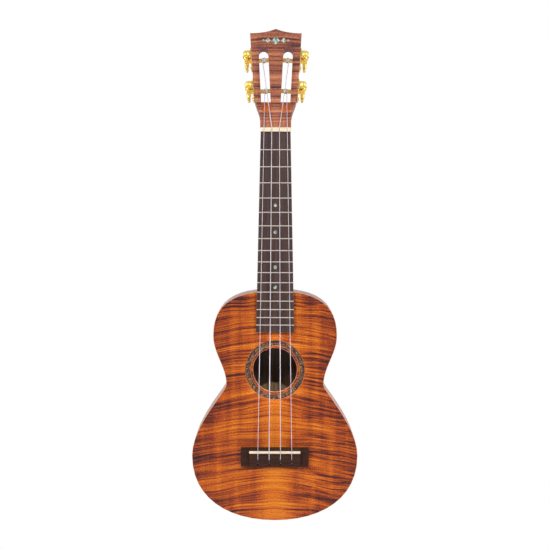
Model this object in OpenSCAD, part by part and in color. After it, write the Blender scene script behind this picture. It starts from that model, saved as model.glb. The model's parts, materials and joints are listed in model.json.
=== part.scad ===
// Concert ukulele: a slotted headstock with four open-geared tuners, a neck with
// sixteen frets, and a hollow body with its braces, linings and blocks.
// Millimetres. Each piece is drawn lying on its back, with y towards the headstock
// and z out of the soundboard, and row() then stands it up with +Z to the headstock.
// The origin is on the centre line, in the soundboard's plane, where a hanger's
// yoke holds the head.

/* [Strings] */
// Sounding length from the nut to the saddle
scale_length = 381; // [375:1:387]
// Number of frets
fret_count = 16; // [14:1:17]
// Fret at which the neck meets the body
joint_fret = 12; // [12:1:12]
// How far the joint lies above that fret
joint_over_fret = 0.9; // [0:0.1:1.2]
// Distance from the hanging point down to the nut's front edge
yoke_to_nut = 20; // [18:1:24]
// Spacing of the strings at the nut
nut_spacing = 9.2; // [8.8:0.1:9.6]
// Spacing of the strings at the saddle
saddle_spacing = 13.5; // [13:0.1:14]
// Height of the strings' centres over the soundboard at the nut
nut_action = 6.6; // [6.4:0.1:6.8]
// Height of the strings' centres over the soundboard at the saddle
saddle_action = 11.2; // [11:0.1:11.6]

/* [Body] */
// Length of the body from the neck joint to the tail
body_length = 275.9; // [273:0.1:278]
// Width of the lower bout
lower_bout = 198.5; // [195:0.5:202]
// Width of the waist
waist = 116.5; // [114:0.5:119]
// Width of the upper bout
upper_bout = 148; // [145:0.5:151]
// Depth of the body at the neck joint
neck_end_depth = 60; // [58:1:62]
// Depth of the body at the tail
tail_end_depth = 67; // [65:1:70]
// Thickness of the soundboard and of the back
plate_t = 2; // [1.8:0.1:2.4]
// Thickness of the bent sides
side_t = 2; // [1.6:0.1:2.4]
// Diameter of the sound hole
sound_hole_d = 52.5; // [50:0.5:55]
// Distance from the nut to the centre of the sound hole
sound_hole_at = 284; // [282:1:286]

/* [Neck] */
// Width of the nut and of the headstock's foot
nut_w = 36.5; // [36:0.5:38]
// Width of the fretboard at the nut
board_nut_w = 35.4; // [35:0.2:36]
// Width of the fretboard at its lower end
fretboard_end_w = 45.5; // [44:0.5:47]
// Distance from the nut to the lower end of the fretboard
fretboard_l = 238.4; // [237:0.2:242]
// Thickness of the fretboard
fretboard_t = 5; // [4.5:0.1:5.5]
// Depth of the neck under the fretboard, at the nut end
neck_t = 14; // [13:0.5:15]
// Thickness of the nut along the strings
nut_t = 5; // [4.5:0.5:5.5]

/* [Headstock] */
// Backward lean of the headstock in degrees
head_lean = 15; // [14:0.5:16]
// Length from the nut to the headstock's corners
head_l = 118; // [117:0.5:120]
// Width across the corners
head_w = 62; // [61:0.5:64]
// Thickness of the headstock's core
head_t = 16.5; // [16:0.5:17]
// Thickness of the face veneer
veneer_t = 1.2; // [1:0.1:1.4]
// Width of the string slots
slot_w = 11.6; // [11.2:0.1:12]

/* [Tuners] */
// Distances from the nut to the upper and the lower string posts
post_at = [85.2, 46.6]; // [46:0.1:86]
// Radius of the string posts
post_r = 2.5; // [2.4:0.1:2.6]
// Teeth of each gear
gear_teeth = 14; // [14:1:14]
// Distance from the gear's axis to the worm's axis
worm_offset = 7.5; // [7.5:0.1:7.5]

/* [Hidden] */
$fn = 48;
HALF = 180;
FULL = 360;
OVER = 1;
FAR = 400;

koa = [0.72, 0.36, 0.13];
koa_light = [0.80, 0.50, 0.34];
mahogany = [0.45, 0.18, 0.09];
spruce = [0.80, 0.66, 0.44];
rosewood = [0.22, 0.14, 0.11];
bone = [0.93, 0.87, 0.74];
nickel = [0.75, 0.73, 0.68];
gold = [0.85, 0.63, 0.20];
nylon = [0.80, 0.76, 0.84];
abalone = [0.55, 0.68, 0.66];

string_d = [0.7, 1.0, 0.85, 0.7];
string_count = len(string_d);
marker_frets = [5, 7, 10, 12];
marker_r = 2;
marker_t = 1;

// Distances along y
nut_y = -yoke_to_nut;
function at(d) = nut_y - d;
function fret_d(n) = scale_length * (1 - pow(2, -n / 12));
function marker_y(n) = at((fret_d(n) + fret_d(n - 1)) / 2);
head_y = nut_y + nut_t;
joint_y = at(fret_d(joint_fret)) + joint_over_fret;
tail_y = joint_y - body_length;
fretboard_end_y = at(fretboard_l);
hole_y = at(sound_hole_at);
function board_half_w(y) =
    (board_nut_w + (fretboard_end_w - board_nut_w) * (nut_y - y) / fretboard_l) / 2;

// Body outline: the right half as four curves, from the tail up to the neck
lower_at = 78;
waist_at = 164;
upper_at = 222.5;
curve_steps = 12;
function bezier(a, b, c, d) = [
    for (i = [1:curve_steps])
        let (t = i / curve_steps, s = 1 - t)
            s * s * s * a + 3 * s * s * t * b + 3 * s * t * t * c + t * t * t * d
];
lower_half = lower_bout / 2;
waist_half = waist / 2;
upper_half = upper_bout / 2;
right_half = concat(
    [[0, 0]],
    bezier([0, 0], [0.58 * lower_half, 0],
           [lower_half, 0.35 * lower_at], [lower_half, lower_at]),
    bezier([lower_half, lower_at], [lower_half, lower_at + 0.43 * (waist_at - lower_at)],
           [waist_half, waist_at - 0.1 * (waist_at - lower_at)], [waist_half, waist_at]),
    bezier([waist_half, waist_at], [waist_half, waist_at + 0.36 * (upper_at - waist_at)],
           [upper_half, upper_at - 0.37 * (upper_at - waist_at)], [upper_half, upper_at]),
    bezier([upper_half, upper_at], [upper_half, upper_at + 0.7 * (body_length - upper_at)],
           [0.7 * upper_half, body_length], [0, body_length])
);
half_count = len(right_half);
body_points = concat(
    right_half,
    [for (i = [half_count - 2:-1:1]) [-right_half[i][0], right_half[i][1]]]
);

// Back plane, leaning back towards the tail
function back_z(y) =
    -neck_end_depth - (tail_end_depth - neck_end_depth) * (joint_y - y) / body_length;
lining_w = 5;
lining_h = 12;
lining_inset = side_t + lining_w;
block_l = 18;
neck_block_w = 52;
tail_block_w = 44;
tenon_w = 16;
tenon_l = 12;
tenon_z = [-6, -50];
brace_w = 6;
brace_h = 10;
back_brace_h = 12;

// Sound hole and rosette
hole_r = sound_hole_d / 2;
rosette_in_r = hole_r + 3.25;
rosette_out_r = hole_r + 9;
rosette_t = 0.8;

// Bridge and saddle
saddle_y = at(scale_length + 1);
bridge_front_y = saddle_y + 5;
bridge_l = 23;
bridge_h = 8;
bridge_block_w = 61;
bridge_w = 81;
wing_h = 3.6;
saddle_t = 3;
saddle_floor = 3.2;
slot_front = 7.6;
string_slot_w = 1.3;
string_slot_floor = 1.6;
knot_r = 1.5;
knot_back = 13.5;
knot_gap = 0.2;
knot_z = string_slot_floor + knot_r + knot_gap;
bridge_nose = [2, 1.5];
bridge_heel = [4, 2.5];
saddle_crown = 0.8;

// Frets
fret_w = 1.3;
fret_h = 0.9;
fret_inset = 0.1;
tang_w = 0.6;
tang_h = 1.6;

// Neck and heel
neck_growth = 1.5;
heel_foot = 15;
heel_cove = 40;
heel_bulge = 7;
heel_cap_t = 2.5;
heel_power = 2.6;
shaft_round = 2.2;
head_square = 6;
volute_l = 22;
head_flare = 0.15;
ring_steps = 22;
lower_shaft_l = 55;

// Headstock
head_drop = 0.6;
head_peak = 5.5;
shoulder = [[18.4, 9], [25.8, 41]];
slot_end = 100.6;
slot_start = 18.4;
ramp_end = 37;
slot_mid = [[10.9, 19.2], [15, 100]];
slot_slant = atan((slot_mid[1][0] - slot_mid[0][0]) / (slot_mid[1][1] - slot_mid[0][1]));
side_slant = atan((head_w / 2 - shoulder[1][0]) / (head_l - shoulder[1][1]));

// Tuners
post_depth = 8.2;
post_z = veneer_t - post_depth;
running = 0.05;
plate_up = 15;
plate_down = 12;
plate_w = 12.4;
tuner_plate_t = 1.2;
ear_w = 9;
ear_t = 1.5;
worm_out = 6.1;
worm_shaft_r = 1.5;
worm_root_r = 1.9;
worm_major_r = 3.1;
worm_half_l = 3.9;
worm_turn_steps = 12;
worm_points = 16;
shaft_proud = 0.5;
collar_r = 2.2;
collar_t = 1.2;
collar_gap = 0.15;
gear_root_r = 4.15;
gear_outer_r = 5.4;
gear_pitch_r = 5;
gear_w = 2.2;
lead = 2 * PI * gear_pitch_r / gear_teeth;
stub_r = 1.5;
screw_at = [-9, 12.4];
screw_r = 1.1;
screw_head_r = 2.1;
screw_head_h = 1.1;
screw_l = 6.5;
gear_screw_r = 0.9;
gear_screw_l = 4;
gear_screw_head_r = 2.4;
gear_screw_head_h = 1.3;
driver_w = 0.7;
driver_depth = 0.6;
button_mid = 31.5;
button_l = 25;
button_h = 14;
button_hub_t = 6.2;
button_tip_t = 3.2;
button_hub_half = 2.5;
button_round = 2.6;
button_waist = 0.16;
button_steps = 40;
winding_turns = 3;
winding_pitch = 0.9;
string_sides = 8;

TUNERS = ["upper_left", "lower_left", "upper_right", "lower_right"];
TUNER_SIDE = [-1, -1, 1, 1];
TUNER_LEVEL = [0, 1, 0, 1];
TUNER_STRING = [1, 0, 2, 3];
TUNER_PIECES = ["plate", "worm_shaft", "button", "post", "gear", "gear_screw", "winding"];
STRINGS = [for (i = [1:string_count]) str("string_", i)];

// Frames

module row() {
    rotate([90, 0, 0]) children();
}

module head_frame() {
    translate([0, head_y, -head_drop]) rotate([-head_lean, 0, 0]) children();
}

// Distance of the headstock's side from the centre line
function head_half_w(l) =
    shoulder[1][0] + (head_w / 2 - shoulder[1][0]) * (l - shoulder[1][1])
    / (head_l - shoulder[1][1]);

// On the headstock's side at a post: x outwards, y towards the crown, z to the front
module tuner_frame(side, level) {
    head_frame()
        mirror([side < 0 ? 1 : 0, 0, 0])
            translate([head_half_w(post_at[level]), post_at[level], post_z])
                rotate([0, 0, -side_slant])
                    children();
}

module along_x(h, r) {
    rotate([0, 90, 0]) cylinder(h = h, r = r);
}

// A swept side view: points are [y, z], drawn across the whole width
module profile(points, width = FAR) {
    rotate([90, 0, 90])
        linear_extrude(height = width, center = true)
            polygon(points);
}

// Body

module body_outline(inset = 0) {
    translate([0, tail_y])
        if (inset > 0)
            offset(delta = -inset) polygon(body_points);
        else
            polygon(body_points);
}

// Everything between a plane under the soundboard and one over the back
module depth_band(front, back) {
    lo = tail_y - OVER;
    hi = joint_y + OVER;
    profile([[lo, -front], [hi, -front], [hi, back_z(hi) + back], [lo, back_z(lo) + back]]);
}

// The same between two heights over the back's plane
module back_band(under, over) {
    lo = tail_y - OVER;
    hi = joint_y + OVER;
    profile([[lo, back_z(lo) + under], [hi, back_z(hi) + under],
             [hi, back_z(hi) + over], [lo, back_z(lo) + over]]);
}

// A layer of depth h under the soundboard
module under_top(h) {
    profile([[tail_y, -plate_t], [joint_y, -plate_t],
             [joint_y, -plate_t - h], [tail_y, -plate_t - h]]);
}

module tall(z0 = -80) {
    translate([0, 0, z0]) linear_extrude(height = -z0) children();
}

module half_plane(side) {
    translate([side < 0 ? -FAR : 0, tail_y - OVER]) square([FAR, body_length + 2 * OVER]);
}

module body_box(w, y0, y1) {
    translate([-w / 2, y0]) square([w, y1 - y0]);
}

module soundboard() {
    color(koa) row() difference() {
        translate([0, 0, -plate_t]) linear_extrude(height = plate_t) body_outline();
        translate([0, hole_y, -plate_t - OVER]) cylinder(h = plate_t + 2 * OVER, r = hole_r);
        rosette_ring(OVER);
    }
}

module rosette_ring(above = 0) {
    translate([0, hole_y, -rosette_t]) difference() {
        cylinder(h = rosette_t + above, r = rosette_out_r);
        translate([0, 0, -OVER]) cylinder(h = rosette_t + above + 2 * OVER, r = rosette_in_r);
    }
}

module rosette() {
    color(abalone) row() rosette_ring();
}

module back_plate() {
    color(koa) row() intersection() {
        tall() body_outline();
        back_band(0, plate_t);
    }
}

module side_shell(side) {
    color(koa) row() difference() {
        intersection() {
            tall() intersection() {
                difference() {
                    body_outline();
                    body_outline(side_t);
                }
                half_plane(side);
            }
            depth_band(plate_t, plate_t);
        }
        tenon();
    }
}

module lining_ring(side) {
    tall() difference() {
        intersection() {
            difference() {
                body_outline(side_t);
                body_outline(lining_inset);
            }
            half_plane(side);
        }
        body_box(neck_block_w, joint_y - block_l - side_t, joint_y);
        body_box(tail_block_w, tail_y, tail_y + block_l);
    }
}

module top_lining(side) {
    color(spruce) row() intersection() {
        lining_ring(side);
        under_top(lining_h);
    }
}

module back_lining(side) {
    color(spruce) row() intersection() {
        lining_ring(side);
        back_band(plate_t, plate_t + lining_h);
    }
}

module tenon() {
    translate([-tenon_w / 2, joint_y - tenon_l, tenon_z[1]])
        cube([tenon_w, tenon_l + OVER, tenon_z[0] - tenon_z[1]]);
}

module neck_block() {
    color(mahogany) row() difference() {
        intersection() {
            tall() intersection() {
                body_outline(side_t);
                body_box(neck_block_w, joint_y - block_l - side_t, joint_y);
            }
            depth_band(plate_t, plate_t);
        }
        tenon();
    }
}

module tail_block() {
    color(mahogany) row() intersection() {
        tall() intersection() {
            body_outline(side_t);
            body_box(tail_block_w, tail_y, tail_y + block_l);
        }
        depth_band(plate_t, plate_t);
    }
}

// A brace across the body, between the linings
module cross_brace(y, band_w) {
    tall() intersection() {
        body_outline(lining_inset);
        body_box(FAR, y - band_w / 2, y + band_w / 2);
    }
}

brace_gap = 7;
upper_brace_y = hole_y + rosette_out_r + brace_gap;
lower_brace_y = hole_y - rosette_out_r - brace_gap;

module top_brace(y) {
    color(spruce) row() intersection() {
        cross_brace(y, brace_w);
        under_top(brace_h);
    }
}

bridge_plate_w = 92;
bridge_plate_l = 30;
bridge_plate_t = 2;

module bridge_plate_shape() {
    y = bridge_front_y - bridge_l / 2 - bridge_plate_l / 2;
    translate([-bridge_plate_w / 2, y, -plate_t - bridge_plate_t])
        cube([bridge_plate_w, bridge_plate_l, bridge_plate_t]);
}

module bridge_plate() {
    color(rosewood) row() bridge_plate_shape();
}

fan_angles = [-14, 0, 14];
fan_spacing = 30;
fan_w = 4;
fan_h = 6;
fan_l = 95;
fan_gap = 4;

module fan_braces() {
    color(spruce) row() difference() {
        for (i = [0:len(fan_angles) - 1])
            translate([(i - 1) * fan_spacing, lower_brace_y - brace_w / 2 - fan_gap, 0])
                rotate([0, 0, fan_angles[i]])
                    translate([-fan_w / 2, -fan_l, -plate_t - fan_h])
                        cube([fan_w, fan_l, fan_h]);
        bridge_plate_shape();
    }
}

back_brace_at = [52, 128, 206];

module back_braces() {
    color(spruce) row() intersection() {
        for (a = back_brace_at) cross_brace(tail_y + a, brace_w);
        back_band(plate_t, plate_t + back_brace_h);
    }
}

// Bridge and saddle

function string_x(i, d) =
    (i - (string_count - 1) / 2)
    * (nut_spacing + (saddle_spacing - nut_spacing) * d / (scale_length + 1));

module saddle_slot(above = 0) {
    translate([-bridge_block_w / 2, saddle_y - saddle_t / 2, saddle_floor])
        cube([bridge_block_w, saddle_t, bridge_h - saddle_floor + above]);
}

module bridge() {
    y0 = bridge_front_y - bridge_l;
    color(rosewood) row() difference() {
        union() {
            translate([-bridge_w / 2, y0, 0]) cube([bridge_w, bridge_l, wing_h]);
            profile([[y0, 0], [bridge_front_y, 0],
                     [bridge_front_y, bridge_h - bridge_nose[1]],
                     [bridge_front_y - bridge_nose[0], bridge_h],
                     [y0 + bridge_heel[0], bridge_h],
                     [y0, bridge_h - bridge_heel[1]]], bridge_block_w);
        }
        saddle_slot(OVER);
        for (i = [0:string_count - 1]) {
            x = string_x(i, scale_length + 1);
            translate([x - string_slot_w / 2, y0 - OVER, string_slot_floor])
                cube([string_slot_w, saddle_y - slot_front - y0 + OVER, bridge_h]);
            translate([x, y0 - OVER, knot_z])
                rotate([-90, 0, 0])
                    cylinder(h = saddle_y - knot_back + knot_r + knot_gap - y0 + OVER,
                             r = knot_r + knot_gap);
        }
    }
}

module saddle() {
    top = saddle_action - string_d[1] / 2;
    crown = saddle_crown;
    color(bone) row() {
        saddle_slot();
        translate([0, saddle_y, 0])
            profile([[-saddle_t / 2, bridge_h], [saddle_t / 2, bridge_h],
                     [saddle_t / 2, top - crown], [crown / 2, top],
                     [-crown / 2, top], [-saddle_t / 2, top - crown]], bridge_block_w);
    }
}

// Neck and headstock

// Depth of the neck's underside below the fretboard
heel_z = neck_end_depth;
function shaft_depth(y) = neck_t + neck_growth * (nut_y - y) / (nut_y - joint_y);
function neck_depth(y) =
    let (u = y - joint_y, v = (y - head_y + volute_l) / volute_l)
        u <= heel_foot
            ? heel_z + heel_bulge * sqrt(max(0, 1 - pow(u / heel_foot, 2)))
            : u < heel_foot + heel_cove
                ? shaft_depth(y) + (heel_z - shaft_depth(y))
                  * pow(1 - (u - heel_foot) / heel_cove, heel_power)
                : shaft_depth(y) + (head_t + head_drop - neck_t) * pow(max(0, v), 2);
function neck_power(y) =
    let (v = max(0, (y - head_y + volute_l) / volute_l))
        shaft_round + (head_square - shaft_round) * v * v;
function neck_half_w(y) =
    let (v = max(0, (y - nut_y) / nut_t))
        board_half_w(min(y, nut_y)) + v * ((nut_w - board_nut_w) / 2 + head_flare);
function neck_ring(y) = [
    for (i = [0:ring_steps])
        let (a = HALF * i / ring_steps, p = 2 / neck_power(y))
            [neck_half_w(y) * sign(cos(a)) * pow(abs(cos(a)), p),
             y,
             -neck_depth(y) * pow(max(0, sin(a)), p)]
];
neck_stations = concat(
    [for (i = [0:6]) joint_y + heel_foot * sin(90 * i / 6)],
    [for (i = [1:8]) joint_y + heel_foot + heel_cove * i / 8],
    [head_y - volute_l - lower_shaft_l],
    [for (i = [0:5]) head_y - volute_l + volute_l * i / 5]
);

// A solid drawn through rings of points, which all have the same count
module loft(rings) {
    n = len(rings[0]);
    m = len(rings);
    walls = [
        for (k = [0:m - 2]) for (i = [0:n - 1])
            let (j = (i + 1) % n)
                each [[k * n + i, (k + 1) * n + i, (k + 1) * n + j],
                      [k * n + i, (k + 1) * n + j, k * n + j]]
    ];
    first = [[for (i = [0:n - 1]) i]];
    last = [[for (i = [n - 1:-1:0]) (m - 1) * n + i]];
    polyhedron(points = [for (ring = rings) each ring], faces = concat(walls, first, last));
}

module neck_loft() {
    loft([for (y = neck_stations) neck_ring(y)]);
}

head_shoulder = bezier(shoulder[0], shoulder[0] + [0.2, 14],
                       shoulder[1] - [1.2, 14], shoulder[1]);
head_crown = bezier([head_w / 2, head_l], [head_w / 4, head_l],
                    [head_w / 9, head_l + head_peak / 2], [0, head_l + head_peak]);
head_half = concat([[nut_w / 2 + head_flare, 0], shoulder[0]], head_shoulder,
                   [[head_w / 2, head_l]], head_crown);
head_count = len(head_half);
head_points = concat(
    head_half,
    [for (i = [head_count - 2:-1:0]) [-head_half[i][0], head_half[i][1]]]
);

module slot_outline() {
    mid = slot_mid[0];
    reach = (slot_end - slot_start - slot_w) / cos(slot_slant);
    translate([mid[0] + slot_w / 2 * tan(slot_slant), slot_start + slot_w / 2])
        rotate([0, 0, -slot_slant]) {
            circle(d = slot_w);
            translate([-slot_w / 2, 0]) square([slot_w, reach]);
            translate([0, reach]) circle(d = slot_w);
        }
}

// The two string slots, ramped up to the face at the nut end
module string_slots() {
    for (s = [0, 1])
        mirror([s, 0, 0]) intersection() {
            translate([0, 0, -2 * head_t]) linear_extrude(height = 3 * head_t) slot_outline();
            profile([[slot_start - OVER, 2 * veneer_t], [slot_start, veneer_t],
                     [ramp_end, -head_t], [ramp_end, -head_t - OVER],
                     [slot_end + OVER, -head_t - OVER], [slot_end + OVER, 2 * veneer_t]]);
        }
}

// How far a post runs in from the headstock's side, through the slot
post_seat = 3;
post_gap = 0.3;
function post_reach(level) =
    head_half_w(post_at[level]) - slot_mid[0][0]
    - (post_at[level] - slot_start) * tan(slot_slant) + slot_w / 2 + post_seat;

module neck() {
    color(mahogany) row() {
        difference() {
            union() {
                difference() {
                    neck_loft();
                    translate([-FAR / 2, joint_y - OVER, -FAR - heel_z + heel_cap_t])
                        cube([FAR, FAR, FAR]);
                }
                head_frame()
                    translate([0, 0, -head_t]) linear_extrude(height = head_t)
                        polygon(head_points);
            }
            head_frame() string_slots();
            for (t = [0:len(TUNERS) - 1])
                tuner_frame(TUNER_SIDE[t], TUNER_LEVEL[t]) {
                    translate([-post_reach(TUNER_LEVEL[t]), 0, 0])
                        along_x(post_reach(TUNER_LEVEL[t]) + OVER, post_r + running);
                    for (y = screw_at)
                        translate([-screw_l, y, 0]) along_x(screw_l + OVER, screw_r);
                }
        }
        difference() {
            tenon();
            translate([-FAR / 2, joint_y, -FAR / 2]) cube([FAR, FAR, FAR]);
        }
    }
}

module heel_cap() {
    color(rosewood) row() intersection() {
        neck_loft();
        translate([-FAR / 2, joint_y, -heel_z]) cube([FAR, 3 * heel_foot, heel_cap_t]);
    }
}

module inlay_shapes() {
    for (s = [-1, 1]) {
        translate([s * 9.5, 0]) rotate([0, 0, 45]) square(4.6, center = true);
        translate([s * 15, 0]) circle(r = 1.3);
    }
    polygon([[0, 5.4], [4.6, 0], [0, -5.4], [-4.6, 0]]);
}
inlay_at = 109;
inlay_t = 0.6;

module inlay_solid(above = 0) {
    translate([0, inlay_at, veneer_t - inlay_t])
        linear_extrude(height = inlay_t + above) inlay_shapes();
}

module headstock_veneer() {
    color(koa_light) row() head_frame() difference() {
        linear_extrude(height = veneer_t) polygon(head_points);
        string_slots();
        inlay_solid(OVER);
    }
}

module headstock_inlay() {
    color(abalone) row() head_frame() inlay_solid();
}

// Fretboard, frets and nut

module fretboard() {
    color(rosewood) row() difference() {
        linear_extrude(height = fretboard_t)
            polygon([[-board_nut_w / 2, nut_y], [board_nut_w / 2, nut_y],
                     [fretboard_end_w / 2, fretboard_end_y],
                     [-fretboard_end_w / 2, fretboard_end_y]]);
        for (n = [1:fret_count])
            translate([-FAR / 2, at(fret_d(n)) - tang_w / 2, fretboard_t - tang_h])
                cube([FAR, tang_w, tang_h + OVER]);
        for (n = marker_frets)
            translate([0, marker_y(n), fretboard_t - marker_t])
                cylinder(h = marker_t + OVER, r = marker_r);
    }
}

module fret(n) {
    y = at(fret_d(n));
    half = board_half_w(y) - fret_inset;
    translate([0, y, fretboard_t])
        profile([[-tang_w / 2, -tang_h], [tang_w / 2, -tang_h], [tang_w / 2, 0],
                 [fret_w / 2, 0], [fret_w * 0.42, fret_h * 0.55], [fret_w * 0.2, fret_h],
                 [-fret_w * 0.2, fret_h], [-fret_w * 0.42, fret_h * 0.55],
                 [-fret_w / 2, 0], [-tang_w / 2, 0]], 2 * half);
}

module frets() {
    color(nickel) row() for (n = [1:fret_count]) fret(n);
}

module position_dots() {
    color(abalone) row()
        for (n = marker_frets)
            translate([0, marker_y(n), fretboard_t - marker_t])
                cylinder(h = marker_t, r = marker_r);
}

nut_h = 7.4;
nut_fall = 0.7;
nut_flat = 1.6;
nut_slope = 1.1;
nut_slot_gap = 0.1;

module nut() {
    color(bone) row() difference() {
        profile([[nut_y, 0], [head_y, 0], [head_y, nut_h - nut_slope], [nut_y + nut_flat, nut_h],
                 [nut_y, nut_h]], nut_w);
        for (i = [0:string_count - 1]) {
            r = string_d[i] / 2;
            translate([string_x(i, 0), 0, 0])
                profile([[nut_y - OVER, nut_action - r], [nut_y, nut_action - r],
                         [head_y, nut_action - nut_fall - r],
                         [head_y + OVER, nut_action - nut_fall - 2 * r],
                         [head_y + OVER, nut_h + OVER], [nut_y - OVER, nut_h + OVER]],
                        string_d[i] + nut_slot_gap);
        }
    }
}

// Strings

// A point given in the headstock's frame, in the frame of the whole instrument
function from_head(p) = [
    p[0],
    head_y + p[1] * cos(head_lean) + p[2] * sin(head_lean),
    -head_drop - p[1] * sin(head_lean) + p[2] * cos(head_lean)
];
wrap_x = [12.4, 14.8];
beside_turns = 2.2;

function string_level(i) = i == 0 || i == string_count - 1 ? 1 : 0;
function string_side(i) = i < string_count / 2 ? -1 : 1;

// Where the string leaves the back of the nut, as [y, z] in the headstock's frame
nut_back_z = nut_action - nut_fall + head_drop;
nut_back = [-nut_back_z * sin(head_lean), nut_back_z * cos(head_lean)];

// Where the string comes down on the front of its post, beside its own turns
function string_end(i) =
    let (level = string_level(i), r = string_d[i] / 2, reach = post_r + r + running,
         away = [post_at[level], post_z] - nut_back,
         lean = atan2(away[1], away[0]) + asin(reach / norm(away)))
        from_head([string_side(i) * (wrap_x[1 - level] + beside_turns * r),
                   post_at[level] - reach * sin(lean),
                   post_z + reach * cos(lean)]);

// How a string climbs out of its slot: [back from the slot's front end, height]
climb = [[3.4, 0.4], [1.6, -1.4], [0.5, 0.1]];
over_saddle = [2, 0.7];
string_gap = [0.02, 0.04];
function string_route(i) =
    let (x = string_x(i, 0), xs = string_x(i, scale_length + 1), r = string_d[i] / 2,
         edge_y = saddle_y - slot_front,
         saddle_z = saddle_action - string_d[1] / 2 + r + string_gap[1])
        [
            [xs, saddle_y - knot_back + knot_r / 2, knot_z],
            [xs, edge_y - climb[0][0], knot_z + climb[0][1]],
            [xs, edge_y - climb[1][0], bridge_h + r + climb[1][1]],
            [xs, edge_y - climb[2][0], bridge_h + r + climb[2][1]],
            [xs, saddle_y - over_saddle[0], saddle_z - over_saddle[1]],
            [xs, saddle_y - over_saddle[1], saddle_z],
            [xs, saddle_y + over_saddle[1], saddle_z],
            [x, nut_y, nut_action + string_gap[0]],
            [x, head_y, nut_action - nut_fall + string_gap[0]],
            string_end(i)
        ];

function unit(v) = v / norm(v);
function direction(p, k) =
    unit(p[min(k + 1, len(p) - 1)] - p[max(k - 1, 0)]);
function ring_at(c, t, r) =
    let (u = unit(cross(t, [1, 0, 0])), v = cross(t, u))
        [for (i = [0:string_sides - 1])
            let (a = FULL * i / string_sides) c + r * cos(a) * u + r * sin(a) * v];

module swept(p, r) {
    loft([for (k = [0:len(p) - 1]) ring_at(p[k], direction(p, k), r)]);
}

module string_piece(i) {
    color(nylon) row() {
        swept(string_route(i), string_d[i] / 2);
        translate([string_x(i, scale_length + 1), saddle_y - knot_back, knot_z])
            sphere(r = knot_r);
    }
}

// Tuners

module in_tuner(t) {
    row() tuner_frame(TUNER_SIDE[t], TUNER_LEVEL[t]) children();
}

module ear(z) {
    difference() {
        union() {
            translate([0, worm_offset - ear_w / 2, z])
                cube([worm_out, ear_w, ear_t]);
            translate([worm_out, worm_offset, z]) cylinder(h = ear_t, d = ear_w);
        }
        translate([worm_out, worm_offset, z - OVER])
            cylinder(h = ear_t + 2 * OVER, r = worm_shaft_r + running);
    }
}

module tuner_plate(t) {
    color(gold) in_tuner(t) {
        difference() {
            translate([0, -plate_down, -plate_w / 2])
                cube([tuner_plate_t, plate_down + plate_up, plate_w]);
            translate([-OVER, 0, 0]) along_x(tuner_plate_t + 2 * OVER, post_r + running);
            for (y = screw_at)
                translate([-OVER, y, 0]) along_x(tuner_plate_t + 2 * OVER, screw_r);
        }
        ear(plate_w / 2 - ear_t);
        ear(-plate_w / 2);
    }
}

// Cross-section of a single-start thread, turned into a worm by the twist
function thread_r(a) =
    let (c = abs(a - HALF) / HALF)
        worm_root_r + (worm_major_r - worm_root_r) * min(1, max(0, (c - 0.66) / 0.16));

module worm_thread() {
    turns = 2 * worm_half_l / lead;
    linear_extrude(height = 2 * worm_half_l, center = true, twist = FULL * turns,
                   slices = ceil(turns * worm_turn_steps), $fn = worm_points)
        polygon([for (i = [0:worm_points - 1])
            let (a = FULL * i / worm_points) thread_r(a) * [cos(a), sin(a)]]);
}

module worm_shaft(t) {
    front = plate_w / 2 + shaft_proud;
    color(gold) in_tuner(t) translate([worm_out, worm_offset, 0]) {
        worm_thread();
        translate([0, 0, -button_mid - post_z])
            cylinder(h = front + button_mid + post_z, r = worm_shaft_r);
        translate([0, 0, -plate_w / 2 - collar_gap - collar_t])
            cylinder(h = collar_t, r = collar_r);
    }
}

function button_r(a) =
    let (c = pow(abs(cos(a)) / (button_l / 2), button_round),
         s = pow(abs(sin(a)) / (button_h / 2), button_round))
        pow(c + s, -1 / button_round) * (1 - button_waist * pow(abs(sin(a)), 8));

module button(t) {
    color(gold) in_tuner(t)
        translate([worm_out, worm_offset, -button_mid - post_z]) difference() {
            intersection() {
                rotate([0, 90, 0])
                    linear_extrude(height = button_hub_t, center = true)
                        rotate([0, 0, 90])
                            polygon([for (i = [0:button_steps - 1])
                                let (a = FULL * i / button_steps)
                                    button_r(a) * [cos(a), sin(a)]]);
                linear_extrude(height = 2 * button_h, center = true)
                    polygon([[-button_tip_t / 2, -button_l / 2 - OVER],
                             [button_tip_t / 2, -button_l / 2 - OVER],
                             [button_hub_t / 2, -button_hub_half],
                             [button_hub_t / 2, button_hub_half],
                             [button_tip_t / 2, button_l / 2 + OVER],
                             [-button_tip_t / 2, button_l / 2 + OVER],
                             [-button_hub_t / 2, button_hub_half],
                             [-button_hub_t / 2, -button_hub_half]]);
            }
            cylinder(h = button_h, r = worm_shaft_r);
        }
}

module post(t) {
    level = TUNER_LEVEL[t];
    shoulder_x = worm_out - gear_w / 2;
    color(gold) in_tuner(t) difference() {
        union() {
            translate([-post_reach(level) + post_gap, 0, 0])
                along_x(post_reach(level) - post_gap + shoulder_x, post_r);
            along_x(shoulder_x + gear_w, stub_r);
        }
        translate([shoulder_x + gear_w - gear_screw_l, 0, 0])
            along_x(gear_screw_l + OVER, gear_screw_r);
    }
}

function tooth_r(a) =
    let (p = a * gear_teeth / FULL, f = abs(p - floor(p) - 0.5) * 2)
        gear_root_r + (gear_outer_r - gear_root_r) * min(1, max(0, (f - 0.62) / 0.2));

module gear(t) {
    color(gold) in_tuner(t)
        translate([worm_out - gear_w / 2, 0, 0]) rotate([0, 90, 0]) difference() {
            linear_extrude(height = gear_w)
                polygon([for (i = [0:gear_teeth * 8 - 1])
                    let (a = FULL * i / (gear_teeth * 8))
                        tooth_r(a + gear_phase) * [cos(a), sin(a)]]);
            translate([0, 0, -OVER]) cylinder(h = gear_w + 2 * OVER, r = stub_r);
        }
}
gear_phase = FULL / gear_teeth / 2;

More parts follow.
